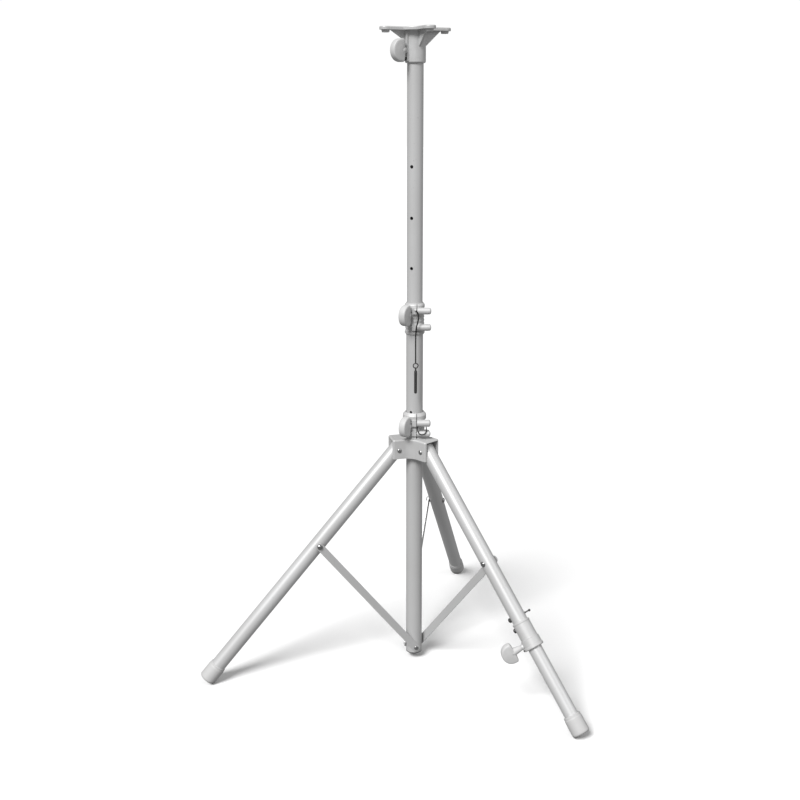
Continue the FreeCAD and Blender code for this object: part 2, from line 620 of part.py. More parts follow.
def top_plug(name):
    plug = turned(name + "_blank", [
        (0.0, -14.0), (leg_bore, -14.0), (leg_bore, size.leg_head - 1.2),
        (leg_bore - 1.5, size.leg_head), (0.0, size.leg_head)])
    return cut(name, plug, [cylinder(name + "_hole", size.pivot_pin_radius + size.running_gap, 60.0,
                                     SIDEWAYS * at(z=-30.0))])


def foot_cap(name, held_radius):
    """A moulded cap over the end of a tube, with a rounded toe."""
    toe, heel = -size.leg_length, size.foot_length - size.leg_length
    corner = [(size.foot_radius - size.foot_round * (1 - sin(turn)),
               toe + size.foot_round * (1 - cos(turn))) for turn in (0, pi / 8, pi / 4, 3 * pi / 8, pi / 2)]
    return turned(name, [(0.0, toe)] + corner + [
        (size.foot_radius, heel - 8), (size.foot_radius - 0.9, heel - 5.4),
        (size.foot_radius - 0.9, heel - 1.4), (size.foot_radius - 2.0, heel),
        (held_radius, heel), (held_radius, toe + 9), (0.0, toe + 9)])


def strut_bolt(name, frame):
    """The bolt through a leg that holds the strut's top end: bolt, spacer and nut."""
    start = frame * at(z=-size.strut_pivot) * SIDEWAYS
    head = strut_outer_face + 1.0
    return group(name, [
        dome(name + "_bolt", 6.0, 3.4, size.pivot_pin_radius, head + size.leg_radius + 3.0,
             start * at(z=head)),
        turned(name + "_spacer", [
            (size.pivot_pin_radius, size.leg_radius), (7.0, size.leg_radius),
            (7.0, size.strut_offset - 1.0), (size.pivot_pin_radius, size.strut_offset - 1.0)], start),
        turned(name + "_nut", [
            (size.pivot_pin_radius, 0.0), (6.0, 0.0), (6.0, 1.4), (4.4, 3.3), (1.8, 4.2), (0.0, 4.2),
            (0.0, 3.0), (size.pivot_pin_radius, 3.0)],
            start * at(z=-size.leg_radius) * FreeCAD.Placement(
                Vector(), FreeCAD.Rotation(Vector(1, 0, 0), 180)))])


def leg_line(place, start=0.0):
    """Outwards from leg 2 on the side of its knob, at a distance below the hub pivot."""
    out = direction(float(size.leg_knob_turn))
    return frame_on(Vector(0, 0, -float(place)) + out * float(start), out, Vector(0, 0, 1))


FRAMES = {leg: leg_frame(azimuth) for leg, azimuth in LEG_AZIMUTHS.items()}
for leg, frame in FRAMES.items():
    end = size.outer_leg_end if leg == "2" else size.leg_length - 9
    name = f"leg_{leg}_tube"
    outside, inside, pivot_hole, strut_hole = leg_tube(name, end)
    holes = [inside, pivot_hole, strut_hole]
    if leg == "2":
        holes.append(cylinder("lock_pin_hole", size.leg_pin_radius + size.running_gap, 60.0,
                              leg_line(size.leg_pin_place, -30.0)))
    piece(name, cut(name, outside, holes), frame)
    piece(f"leg_{leg}_top_plug", top_plug(f"leg_{leg}_top_plug"), frame)
    piece(f"leg_{leg}_strut_bolt", strut_bolt(f"leg_{leg}_strut_bolt", frame))
    if leg != "2":
        piece(f"leg_{leg}_foot", foot_cap(f"leg_{leg}_foot", size.leg_radius), frame)

# ---- Struts: flat bars with round ends, beside the legs ------------------------------------------

for leg, azimuth in LEG_AZIMUTHS.items():
    top_play = size.running_gap if leg == "1" else size.open_play
    name = f"strut_{leg}"
    lie = frame_on(Vector(float(size.strut_offset), 0, 0), Vector(1, 0, 0), Vector(0, 0, 1))
    bar = fused(name + "_bar", [
        block(name + "_flat", constant(strut_length), size.strut_width, size.strut_thickness,
              lie * at(0, -size.strut_width / 2, 0)),
        cylinder(name + "_low_end", size.strut_width / 2, size.strut_thickness, lie),
        cylinder(name + "_high_end", size.strut_width / 2, size.strut_thickness,
                 lie * at(strut_length, 0, 0))])
    bar = cut(name, bar, [
        cylinder(name + "_low_hole", size.rivet_radius + size.running_gap, 10.0, lie * at(0, 0, -3)),
        cylinder(name + "_high_hole", size.pivot_pin_radius + top_play, 10.0,
                 lie * at(strut_length, 0, -3))])
    piece(name, bar, strut_frame(azimuth))

# ---- Adjustable leg: clamp sleeve, inner tube, lock pin -------------------------------------------

frame = FRAMES["2"]
inner_leg_gap = size.inner_leg_radius + size.easy_gap
sleeve_ring = turned("sleeve_ring", [
    (size.leg_radius, -size.sleeve_top), (size.sleeve_radius - 0.6, -size.sleeve_top),
    (size.sleeve_radius + 0.7, -size.sleeve_top - 1.5), (size.sleeve_radius + 0.7, -size.sleeve_top - 3.5),
    (size.sleeve_radius, -size.sleeve_top - 5), (size.sleeve_radius, -size.sleeve_step),
    (size.sleeve_collar_radius - 0.6, -size.sleeve_step - 1),
    (size.sleeve_collar_radius - 0.6, -size.sleeve_bottom + 7),
    (size.sleeve_collar_radius + 0.6, -size.sleeve_bottom + 5),
    (size.sleeve_collar_radius + 0.6, -size.sleeve_bottom + 1.5),
    (size.sleeve_collar_radius - 0.8, -size.sleeve_bottom),
    (inner_leg_gap, -size.sleeve_bottom), (inner_leg_gap, -size.outer_leg_end),
    (size.leg_radius, -size.outer_leg_end)])
sleeve_boss = cylinder("sleeve_boss", 6.4, 6.0, leg_line(size.leg_knob_place, 18.4))
sleeve_cuts = [
    cylinder("sleeve_screw_hole", size.screw_radius + size.running_gap, 30.0,
             leg_line(size.leg_knob_place)),
    cylinder("sleeve_rivet_hole", 2.4, 30.0, leg_line(size.sleeve_top + 13)),
    cylinder("sleeve_grub_hole", 2.0, 8.0, leg_line(size.sleeve_bottom - 3.4, 17.5))]
piece("leg_clamp_sleeve", cut("leg_clamp_sleeve", fused("sleeve_solid", [sleeve_ring, sleeve_boss]),
                              sleeve_cuts), frame)
piece("leg_sleeve_rivets", group("leg_sleeve_rivets", [
    dome("leg_sleeve_rivet", 5.2, 4.6, 2.4, size.sleeve_radius - size.leg_radius,
         frame * leg_line(size.sleeve_top + 13, size.sleeve_radius)),
    dome("leg_grub_screw", 2.9, 2.4, 2.0, 3.0,
         frame * leg_line(size.sleeve_bottom - 3.4, size.sleeve_collar_radius + 0.7))]))
piece("leg_clamp_pad", cylinder("leg_clamp_pad", size.screw_radius - 0.1, 2.0,
                                leg_line(size.leg_knob_place, size.inner_leg_radius + size.easy_gap)),
      frame)
leg_seat = frame * leg_line(size.leg_knob_place, size.leg_wing_start)
piece("leg_clamp_knob", wing_knob("leg_clamp_knob", constant(18.4), 5.6), leg_seat)
piece("leg_clamp_screw", knob_screw("leg_clamp_screw", constant(-25.3)), leg_seat)

inner_leg_bore = size.inner_leg_radius - size.inner_leg_wall
inner_leg_length = size.leg_length - 9 - size.inner_leg_top
slot_top = size.leg_pin_place - size.leg_travel_out
slot_length = size.leg_travel_out + size.leg_travel_in
slot_half = size.leg_pin_radius + 0.3
slot_line = leg_line(slot_top, -30.0)
piece("leg_2_inner_tube", cut(
    "leg_2_inner_tube",
    cylinder("inner_leg_outside", size.inner_leg_radius, inner_leg_length, at(z=9 - size.leg_length)),
    [cylinder("inner_leg_inside", inner_leg_bore, inner_leg_length, at(z=9 - size.leg_length)),
     block("inner_leg_slot", slot_length, slot_half * 2, 60.0, slot_line * at(-slot_length, -slot_half, 0)),
     cylinder("inner_leg_slot_low", slot_half, 60.0, slot_line * at(-slot_length, 0, 0)),
     cylinder("inner_leg_slot_high", slot_half, 60.0, slot_line)]), frame)
piece("leg_2_foot", foot_cap("leg_2_foot", size.inner_leg_radius), frame)
piece("leg_pin_socket", turned("leg_pin_socket", [
    (size.leg_pin_radius + 0.1, 0.0), (5.2, 0.0), (5.6, 1.6), (4.6, 4.4), (2.0, 6.0), (0.0, 6.2),
    (0.0, 4.0), (size.leg_pin_radius + 0.1, 4.0)]), frame * leg_line(size.leg_pin_place, size.leg_radius))
piece("leg_lock_pin", turned("leg_lock_pin", [
    (0.0, -31.4), (1.6, -31.0), (2.8, -29.6), (2.8, -27.6), (1.5, -26.2), (1.5, -20.0),
    (size.leg_pin_radius, -19.4), (size.leg_pin_radius, 20.0), (1.2, 20.8), (0.0, 20.8)]),
    frame * leg_line(size.leg_pin_place))

# ---- Cords and the hanging lock pin --------------------------------------------------------------


def rounded_path(points):
    """Straight runs joined by tangent arcs, each as large as its two runs allow; prints the radii."""
    corners = [Vector(*p) for p in points]
    edges, start, radii = [], corners[0], []
    for before, corner, after in zip(corners, corners[1:], corners[2:]):
        inward, outward = (corner - before), (after - corner)
        shorter = min(inward.Length, outward.Length)
        inward.normalize()
        outward.normalize()
        turn = inward.getAngle(outward)
        setback = 0.45 * shorter
        radii.append(setback / tan(turn / 2))
        enter, leave = corner - inward * setback, corner + outward * setback
        middle = corner + (outward - inward).normalize() * (
            (radii[-1] ** 2 + setback ** 2) ** 0.5 - radii[-1])
        edges += [Part.LineSegment(start, enter).toShape(), Part.Arc(enter, middle, leave).toShape()]
        start = leave
    edges.append(Part.LineSegment(start, corners[-1]).toShape())
    return Part.Wire(edges), radii


def cord(name, points, diameter, place):
    path, radii = rounded_path(points)
    first = (Vector(*points[1]) - Vector(*points[0])).normalize()
    section = Part.Wire(Part.makeCircle(diameter / 2, Vector(*points[0]), first))
    tube = path.makePipeShell([section], True, False)
    solid = Part.Solid(tube) if tube.ShapeType == "Shell" else tube
    expected = pi * diameter ** 2 / 4 * path.Length
    print(name, "length", round(path.Length, 1), "radii", [round(r, 1) for r in radii],
          "volume ratio", round(solid.Volume / expected, 4))
    made = doc.addObject("Part::Feature", name)
    made.Shape = solid
    made.Placement = place
    return piece(name, made)


SAFETY_CORD = [(3.0, -31.0, 863.5), (8.0, -34.5, 858.0), (8.8, -36.0, 848.0), (6.5, -37.5, 837.0),
               (3.0, -40.2, 826.0), (2.0, -41.2, 808.0), (2.3, -41.4, 748.0)]
cord("safety_cord", SAFETY_CORD, 3.0, CLAMP)
RETAINER_CORD = [(7.5, -27.7, 594.5), (6.6, -31.6, 589.2), (9.2, -33.8, 581.4), (14.9, -34.2, 577.4),
                 (22.2, -33.6, 577.9), (26.8, -31.6, 583.8), (27.6, -28.2, 590.6), (26.6, -27.7, 594.6)]
cord("hub_retainer_cord", RETAINER_CORD, 2.4, CLAMP)

# The eye that the safety cord is knotted to, on the front of the collar's ear.
ear_front = float(size.upper_bolt_offset) + 3.6
cord_start = Vector(*SAFETY_CORD[0])
cord_way = (Vector(*SAFETY_CORD[1]) - cord_start).normalize()
piece("cord_eye", turned("cord_eye", [
    (0.0, -4.5), (1.9, -4.5), (2.6, -3.6), (2.6, -0.8), (2.1, 0.0), (0.0, 0.0)]),
    CLAMP * frame_on(cord_start, cord_way, cord_way.cross(Vector(0, 0, 1))))
ring_centre = Vector(SAFETY_CORD[-1][0], SAFETY_CORD[-1][1], SAFETY_CORD[-1][2] - 7.0)
ring = doc.addObject("Part::Torus", "lock_pin_ring")
bind(ring, Radius1=6.0, Radius2=0.9)
ring.Placement = frame_on(ring_centre, Vector(0, 1, 0), Vector(1, 0, 0))
piece("lock_pin_ring", ring, CLAMP)
pin_top = ring_centre.z - 12.5
pin_line = at(ring_centre.x, ring_centre.y, 0)
pin_body = turned("lock_pin_body", [
    (0.0, pin_top - 51.0), (2.2, pin_top - 51.0), (3.3, pin_top - 48.5), (3.3, pin_top),
    (2.4, pin_top + 1.5), (0.0, pin_top + 1.5)], pin_line)
pin_tab = block("lock_pin_tab", 3.2, 6.0, 9.5, pin_line * at(-1.6, -3.0, pin_top - 1))
pin_eye = cylinder("lock_pin_eye", 1.7, 10.0,
                   at(ring_centre.x - 5, ring_centre.y, ring_centre.z - 6.0)
                   * frame_on(Vector(), Vector(1, 0, 0), Vector(0, 0, 1)))
piece("lock_pin", cut("lock_pin", fused("lock_pin_solid", [pin_body, pin_tab]), [pin_eye]), CLAMP)

# ---- Check and export ----------------------------------------------------------------------------

doc.recompute()
for thing in doc.Objects:
    if "Invalid" in thing.State or "Error" in thing.State:
        raise RuntimeError(f"{thing.Name} failed: {thing.State}")
os.makedirs("parts", exist_ok=True)
for name, thing in nodes.items():
    shape = thing.Shape
    if shape.isNull() or not shape.isValid() or not shape.Solids:
        raise RuntimeError(f"{name} has no valid solid")
    shape.exportStep(f"parts/{name}.step")
print(len(nodes), "nodes")
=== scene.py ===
import json
from math import cos, pi, radians, sin

import bmesh
import bpy
from mathutils import Matrix, Vector


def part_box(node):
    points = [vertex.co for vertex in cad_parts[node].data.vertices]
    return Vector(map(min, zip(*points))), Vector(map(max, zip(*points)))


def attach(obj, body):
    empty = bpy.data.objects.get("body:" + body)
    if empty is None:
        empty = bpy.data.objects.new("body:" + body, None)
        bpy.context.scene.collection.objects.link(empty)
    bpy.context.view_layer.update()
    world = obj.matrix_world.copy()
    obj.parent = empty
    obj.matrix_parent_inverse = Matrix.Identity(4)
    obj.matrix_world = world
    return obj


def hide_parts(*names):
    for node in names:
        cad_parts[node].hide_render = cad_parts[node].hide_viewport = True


# A folding tripod stand for a loudspeaker. It is dressed from the centre tube outwards, in the
# order in which the real one is put together: pole, clamps and plate, hub, legs and struts,
# adjustable leg.
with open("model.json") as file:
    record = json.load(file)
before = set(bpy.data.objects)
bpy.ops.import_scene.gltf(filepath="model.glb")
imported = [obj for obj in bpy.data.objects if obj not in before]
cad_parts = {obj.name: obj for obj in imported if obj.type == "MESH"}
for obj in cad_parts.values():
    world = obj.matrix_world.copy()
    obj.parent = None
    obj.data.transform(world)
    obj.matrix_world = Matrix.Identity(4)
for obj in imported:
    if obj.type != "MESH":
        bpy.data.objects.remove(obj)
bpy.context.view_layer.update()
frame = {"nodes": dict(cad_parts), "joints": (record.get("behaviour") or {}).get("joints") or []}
joints = {joint["name"]: joint for joint in frame["joints"]}
tube_low, tube_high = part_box("outer_tube")
pole_axis = Vector(((tube_low.x + tube_high.x) / 2, (tube_low.y + tube_high.y) / 2, 0))

# ---- Camera -------------------------------------------------------------------------------------
# Stands a good two metres in front of the stand and a little to its right, at head height, looking
# down on the legs. Its bearing is turned with the clamps, which face it.
clamp_turn = radians(14.4)
camera_distance, camera_height = 2.3566, 1.3114
look_down, look_aside, horizon_tilt = radians(15.67), radians(-0.807), radians(-0.066)
lens = bpy.data.cameras.new("stand_camera")
lens.sensor_width, lens.lens = 36.0, 48.12
lens.clip_start, lens.clip_end = 0.05, 60.0
camera = bpy.data.objects.new("stand_camera", lens)
bpy.context.scene.collection.objects.link(camera)
bpy.context.scene.camera = camera
aim = Vector((sin(look_aside) * cos(look_down), cos(look_aside) * cos(look_down), -sin(look_down)))
aim.rotate(Matrix.Rotation(clamp_turn, 3, "Z"))
camera.rotation_mode = "QUATERNION"
camera.rotation_quaternion = (aim.to_track_quat("-Z", "Y")
                              @ Matrix.Rotation(horizon_tilt, 3, "Z").to_quaternion())
camera.location = pole_axis + Vector((sin(clamp_turn) * camera_distance,
                                      -cos(clamp_turn) * camera_distance, camera_height))

# ---- Cords --------------------------------------------------------------------------------------
# Two short braided nylon cords, black. One keeps the lock pin with the stand: knotted to an eye on
# the upper clamp, it hangs in front of the tube. The other is a small loop on the lower clamp.


class Value:
    """Something that varies over a surface: the output of a node. Arithmetic adds nodes."""

    def __init__(self, finish, socket):
        self.finish, self.socket = finish, socket

    def maths(self, operation, other, swapped=False):
        first, second = (other, self) if swapped else (self, other)
        return self.finish.node("ShaderNodeMath", {"operation": operation}, {0: first, 1: second})

    def __add__(self, other):
        return self.maths("ADD", other)

    def __radd__(self, other):
        return self.maths("ADD", other, True)

    def __sub__(self, other):
        return self.maths("SUBTRACT", other)

    def __rsub__(self, other):
        return self.maths("SUBTRACT", other, True)

    def __mul__(self, other):
        return self.maths("MULTIPLY", other)

    def __rmul__(self, other):
        return self.maths("MULTIPLY", other, True)

    def most(self, other):
        return self.maths("MAXIMUM", other)

    def node(self, kind, settings=None, inputs=None, output=0):
        """Any node that reads this value by its first input."""
        return self.finish.node(kind, settings, {0: self, **(inputs or {})}, output)


class Finish:
    """A procedural material round one Principled shader."""

    def __init__(self, name, **sockets):
        self.material = bpy.data.materials.new(name)
        self.material.use_nodes = True
        self.tree = self.material.node_tree
        self.tree.nodes.clear()
        self.shader = self.tree.nodes.new("ShaderNodeBsdfPrincipled")
        surface = self.tree.nodes.new("ShaderNodeOutputMaterial")
        self.tree.links.new(self.shader.outputs[0], surface.inputs[0])
        for socket, value in sockets.items():
            self.shader.inputs[socket.replace("_", " ")].default_value = value
        self.place = self.node("ShaderNodeTexCoord", output="Object")

    def give(self, socket, value):
        if isinstance(value, Value):
            self.tree.links.new(value.socket, socket)
        else:
            socket.default_value = value

    def node(self, kind, settings=None, inputs=None, output=0):
        """Adds a node: first its settings, then the values or links of its sockets."""
        made = self.tree.nodes.new(kind)
        for name, value in (settings or {}).items():
            if name == "stops":
                ramp = made.color_ramp.elements
                while len(ramp) < len(value):
                    ramp.new(0.5)
                for element, (position, colour) in zip(ramp, value):
                    element.position, element.color = position, colour
            else:
                setattr(made, name, value)
        for name, value in (inputs or {}).items():
            live = [s for s in made.inputs if s.enabled]
            socket = live[name] if isinstance(name, int) else self.called(live, name)
            self.give(socket, value)
        live = [s for s in made.outputs if s.enabled]
        chosen = live[output] if isinstance(output, int) else self.called(live, output)
        return Value(self, chosen)

    @staticmethod
    def called(sockets, name):
        return next(socket for socket in sockets if socket.name == name)

    def stretched(self, x, y, z):
        """The object's coordinates, scaled along each axis."""
        return self.place.node("ShaderNodeMapping", None, {"Scale": (x, y, z)})

    def noise(self, scale, detail=3.0, where=None, roughness=0.5):
        return self.node("ShaderNodeTexNoise", None, {
            "Vector": where or self.place, "Scale": scale, "Detail": detail,
            "Roughness": roughness})

    def between(self, share, first, second):
        """A colour from first to second as share goes from 0 to 1."""
        return self.node("ShaderNodeMix", {"data_type": "RGBA"},
                         {"Factor": share, "A": first, "B": second})

    def clamped(self, value, low, high):
        """value spread over 0 to 1 between low and high."""
        return value.node("ShaderNodeMapRange", {"clamp": True},
                          {"From Min": low, "From Max": high})

    def set(self, colour=None, roughness=None, metallic=None, coat=None):
        for socket, value in (("Base Color", colour), ("Roughness", roughness),
                              ("Metallic", metallic), ("Coat Weight", coat)):
            if value is not None:
                self.give(self.shader.inputs[socket], value)

    def bump(self, height, depth, strength=1.0):
        made = self.node("ShaderNodeBump", None, {
            "Height": height, "Distance": depth, "Strength": strength})
        self.give(self.shader.inputs["Normal"], made)


def grey(level, warmth=0.0):
    """A near-neutral colour; warmth above 0 leans it towards yellow."""
    return (level * (1 + warmth), level, level * (1 - warmth), 1.0)


def dress(finish, *names):
    """Gives CAD nodes their finish."""
    for name in names:
        mesh = frame["nodes"][name].data
        mesh.materials.clear()
        mesh.materials.append(finish.material)


def cord_curve(name, points, diameter, finish):
    """A round cord along a smooth line; its points are in the clamps' own turned frame."""
    data = bpy.data.curves.new(name, "CURVE")
    data.dimensions = "3D"
    data.bevel_depth, data.bevel_resolution, data.use_fill_caps = diameter / 2, 3, True
    data.resolution_u = 12
    spline = data.splines.new("NURBS")
    spline.points.add(len(points) - 1)
    to_row = Matrix.Translation(pole_axis) @ Matrix.Rotation(clamp_turn, 4, "Z")
    for control, point in zip(spline.points, points):
        control.co = (*(to_row @ Vector(point)), 1.0)
    spline.order_u = 3
    spline.use_endpoint_u = True
    data.materials.append(finish.material)
    made = bpy.data.objects.new(name, data)
    bpy.context.scene.collection.objects.link(made)
    return made, to_row @ Vector(points[0])


braid = Finish("black_braid", Specular_IOR_Level=0.25)
right_lay, left_lay = [
    braid.node("ShaderNodeTexWave", {"bands_direction": "DIAGONAL"},
               {"Vector": braid.stretched(hand, 1, 1), "Scale": 210.0, "Distortion": 0.6}, "Fac")
    for hand in (1, -1)]
strands = right_lay.most(left_lay)
fuzz = braid.noise(1500, 2)
braid.set(braid.between(strands * 0.8 + fuzz * 0.2, grey(0.004), grey(0.02, 0.02)),
          0.5 + 0.3 * fuzz)
braid.bump(strands, 0.0004)

safety_route = [(0.0030, -0.0310, 0.8635), (0.0080, -0.0345, 0.8580), (0.0088, -0.0360, 0.8480),
                (0.0065, -0.0375, 0.8370), (0.0030, -0.0402, 0.8260), (0.0020, -0.0412, 0.8080),
                (0.0023, -0.0414, 0.7480)]
safety_cord, safety_start = cord_curve("pin_cord", safety_route, 0.003, braid)
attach(safety_cord, "mast")
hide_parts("safety_cord")
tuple(safety_start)

retainer_route = [(0.0075, -0.0277, 0.5945), (0.0066, -0.0316, 0.5892), (0.0092, -0.0338, 0.5814),
                  (0.0149, -0.0342, 0.5774), (0.0222, -0.0336, 0.5779), (0.0268, -0.0316, 0.5838),
                  (0.0276, -0.0282, 0.5906), (0.0266, -0.0277, 0.5946)]
retainer_cord, retainer_start = cord_curve("retainer_loop", retainer_route, 0.0024, braid)
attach(retainer_cord, "hub")
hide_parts("hub_retainer_cord")
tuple(retainer_start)

# ---- Centre tube --------------------------------------------------------------------------------
# A steel tube of 38 mm, powder coated in a pale silver. A nylon plug closes its foot, and three
# round-headed rivets through it carry the lower ends of the struts.


def powder_coat(name, level, grain=1.0):
    """Satin powder coat on tube: fine sparkle, slight orange peel, faint rubs along the tube."""
    coat = Finish(name, Metallic=0.28, Coat_Weight=0.12, Coat_Roughness=0.3)
    drift = coat.noise(5.5, 2)
    sparkle = coat.noise(1900, 1)
    peel = coat.noise(420, 3)
    rub_field = coat.noise(1.0, 5, coat.stretched(260, 260, 9), 0.6)
    rubs = coat.clamped(rub_field, 0.63, 0.72) * coat.clamped(coat.noise(7, 2), 0.52, 0.62)
    specks = coat.clamped(coat.noise(310, 1), 0.74, 0.78) * coat.clamped(drift, 0.45, 0.6)
    tone = coat.clamped(drift * 0.65 + sparkle * 0.35, 0.3, 0.7)
    base = coat.between(tone, grey(level * 0.94, 0.004), grey(level * 1.05, -0.004))
    worn = coat.between(rubs * 0.5, base, grey(level * 0.62, 0.01))
    coat.set(coat.between(specks * 0.55, worn, grey(level * 0.4, 0.02)),
             0.4 + 0.08 * drift + 0.1 * rubs - 0.05 * sparkle)
    coat.bump(peel * 0.7 + sparkle * 0.3 - rubs * 0.5, 0.00006 * grain)
    return coat


def round_head_tree():
    """Geometry Nodes: a round-headed fastener on every point, along the point's own axis."""
    tree = bpy.data.node_groups.new("round_heads", "GeometryNodeTree")
    face = tree.interface
    face.new_socket("Points", in_out="INPUT", socket_type="NodeSocketGeometry")
    for name, value in (("Head Radius", 0.005), ("Head Height", 0.0026), ("Shank Radius", 0.003),
                        ("Shank Length", 0.01)):
        face.new_socket(name, in_out="INPUT", socket_type="NodeSocketFloat").default_value = value
    face.new_socket("Seed", in_out="INPUT", socket_type="NodeSocketInt").default_value = 7
    face.new_socket("Finish", in_out="INPUT", socket_type="NodeSocketMaterial")
    face.new_socket("Fasteners", in_out="OUTPUT", socket_type="NodeSocketGeometry")

    def add(kind, settings=None, **links):
        made = tree.nodes.new(kind)
        for name, value in (settings or {}).items():
            setattr(made, name, value)
        for name, value in links.items():
            socket = made.inputs[name.replace("_", " ")]
            if isinstance(value, bpy.types.NodeSocket):
                tree.links.new(value, socket)
            else:
                socket.default_value = value
        return made

    given = add("NodeGroupInput").outputs
    # The head is half of a flattened ball; a collar under it meets the work squarely.
    ball = add("GeometryNodeMeshUVSphere", Segments=32, Rings=20, Radius=1.0)
    position = add("GeometryNodeInputPosition")
    parts = add("ShaderNodeSeparateXYZ", Vector=position.outputs[0])
    lifted = add("ShaderNodeMath", {"operation": "MAXIMUM"})
    tree.links.new(parts.outputs["Z"], lifted.inputs[0])
    lifted.inputs[1].default_value = -0.02
    half = add("ShaderNodeCombineXYZ", X=parts.outputs["X"], Y=parts.outputs["Y"],
               Z=lifted.outputs[0])
    dome = add("GeometryNodeSetPosition", Geometry=ball.outputs[0], Position=half.outputs[0])
    spread = add("ShaderNodeCombineXYZ", X=given["Head Radius"], Y=given["Head Radius"],
                 Z=given["Head Height"])
    head = add("GeometryNodeTransform", Geometry=dome.outputs[0], Scale=spread.outputs[0])
    shank = add("GeometryNodeMeshCylinder", Vertices=24, Side_Segments=1, Fill_Segments=1,
                Radius=given["Shank Radius"], Depth=given["Shank Length"])
    drop = add("ShaderNodeMath", {"operation": "MULTIPLY"})
    tree.links.new(given["Shank Length"], drop.inputs[0])
    drop.inputs[1].default_value = -0.5
    down = add("ShaderNodeCombineXYZ", Z=drop.outputs[0])
    stem = add("GeometryNodeTransform", Geometry=shank.outputs["Mesh"],
               Translation=down.outputs[0])
    whole = add("GeometryNodeJoinGeometry")
    tree.links.new(head.outputs[0], whole.inputs[0])
    tree.links.new(stem.outputs[0], whole.inputs[0])
    axis = add("GeometryNodeInputNamedAttribute", {"data_type": "FLOAT_VECTOR"}, Name="axis")
    turned = add("FunctionNodeAlignRotationToVector", {"axis": "Z"},
                 Vector=axis.outputs[0])
    spin = add("FunctionNodeRandomValue", {"data_type": "FLOAT"})
    spin.inputs[3].default_value = 2 * pi
    tree.links.new(given["Seed"], spin.inputs["Seed"])
    about = add("ShaderNodeCombineXYZ", Z=spin.outputs[1])
    placed = add("GeometryNodeInstanceOnPoints", Points=given["Points"],
                 Instance=whole.outputs[0], Rotation=turned.outputs[0])
    spun = add("GeometryNodeRotateInstances", Instances=placed.outputs[0],
               Rotation=about.outputs[0])
    real = add("GeometryNodeRealizeInstances", Geometry=spun.outputs[0])
    smooth = add("GeometryNodeSetShadeSmooth", Geometry=real.outputs[0])
    coated = add("GeometryNodeSetMaterial", Geometry=smooth.outputs[0], Material=given["Finish"])
    out = add("NodeGroupOutput")
    tree.links.new(coated.outputs[0], out.inputs[0])
    return tree


round_heads = round_head_tree()


def plain_mesh(carrier, name):
    """The evaluated result of an object's modifiers as a new plain object, the carrier removed."""
    bpy.context.view_layer.update()
    evaluated = carrier.evaluated_get(bpy.context.evaluated_depsgraph_get())
    data = bpy.data.meshes.new_from_object(evaluated)
    bpy.data.objects.remove(carrier)
    made = bpy.data.objects.new(name, data)
    bpy.context.scene.collection.objects.link(made)
    return made


def fasteners(name, seats, head_radius, head_height, shank_radius, shank_length, finish):
    """Round-headed fasteners at (place, outward axis) seats, as one plain mesh."""
    points = bpy.data.meshes.new(name + "_seats")
    points.from_pydata([place for place, axis in seats], [], [])
    axes = points.attributes.new("axis", "FLOAT_VECTOR", "POINT")
    for item, (place, axis) in zip(axes.data, seats):
        item.vector = axis
    carrier = bpy.data.objects.new(name + "_seats", points)
    bpy.context.scene.collection.objects.link(carrier)
    modifier = carrier.modifiers.new("round_heads", "NODES")
    modifier.node_group = round_heads
    wanted = {"Head Radius": head_radius, "Head Height": head_height, "Shank Radius": shank_radius,
              "Shank Length": shank_length, "Finish": finish.material}
    for item in round_heads.interface.items_tree:
        if item.in_out == "INPUT" and item.name in wanted:
            modifier[item.identifier] = wanted[item.name]
    made = plain_mesh(carrier, name)
    made.data.materials.clear()
    made.data.materials.append(finish.material)
    return made


def zinc_plate(name, level=0.4):
    """Bright zinc on turned steel, dulled in patches."""
    zinc = Finish(name, Metallic=0.95)
    patches = zinc.noise(160, 3)
    fine = zinc.noise(2600, 2)
    zinc.set(zinc.between(patches, grey(level * 0.75, 0.01), grey(level * 1.15, -0.01)),
             0.16 + 0.16 * patches + 0.05 * fine)
    zinc.bump(fine, 0.00002)
    return zinc


def nylon(name, level):
    """Moulded nylon: matt with a fine spark-eroded grain, scuffed here and there."""
    moulded = Finish(name, Specular_IOR_Level=0.45)
    grain = moulded.noise(1300, 2)
    scuffs = moulded.clamped(moulded.noise(90, 4), 0.55, 0.75)
    moulded.set(moulded.between(scuffs * 0.6 + grain * 0.2, grey(level), grey(level * 1.7 + 0.01)),
                0.5 + 0.2 * scuffs + 0.06 * grain)
    moulded.bump(grain, 0.00008)
    return moulded


tube_coat = powder_coat("tube_powder_coat", 0.60)
zinc_steel = zinc_plate("zinc_steel")
dark_nylon = nylon("dark_nylon", 0.03)
dress(tube_coat, "outer_tube")
dress(dark_nylon, "tube_end_plug")

strut_rivet_head, strut_rivet_rise, strut_rivet_shank = 0.0055, 0.0026, 0.004
strut_rivet_root = 0.013
foot_low, foot_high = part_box("strut_foot_rivets")
rivet_height = (foot_low.z + foot_high.z) / 2
leg_bearings = {"1": radians(210), "2": radians(330), "3": radians(90)}


def across(bearing):
    """The level direction along a leg's own bolts."""
    return Vector((-sin(bearing), cos(bearing), 0))


rivet_points = [v.co for v in frame["nodes"]["strut_foot_rivets"].data.vertices]
rivet_seat = max((point - pole_axis).dot(across(leg_bearings["1"]))
                 for point in rivet_points) - strut_rivet_rise
strut_rivets = fasteners("strut_rivets", [
    (pole_axis + across(bearing) * rivet_seat + Vector((0, 0, rivet_height)), across(bearing))
    for bearing in leg_bearings.values()],
    strut_rivet_head, strut_rivet_rise, strut_rivet_shank, rivet_seat - strut_rivet_root,
    zinc_steel)
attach(strut_rivets, "mast")
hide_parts("strut_foot_rivets")

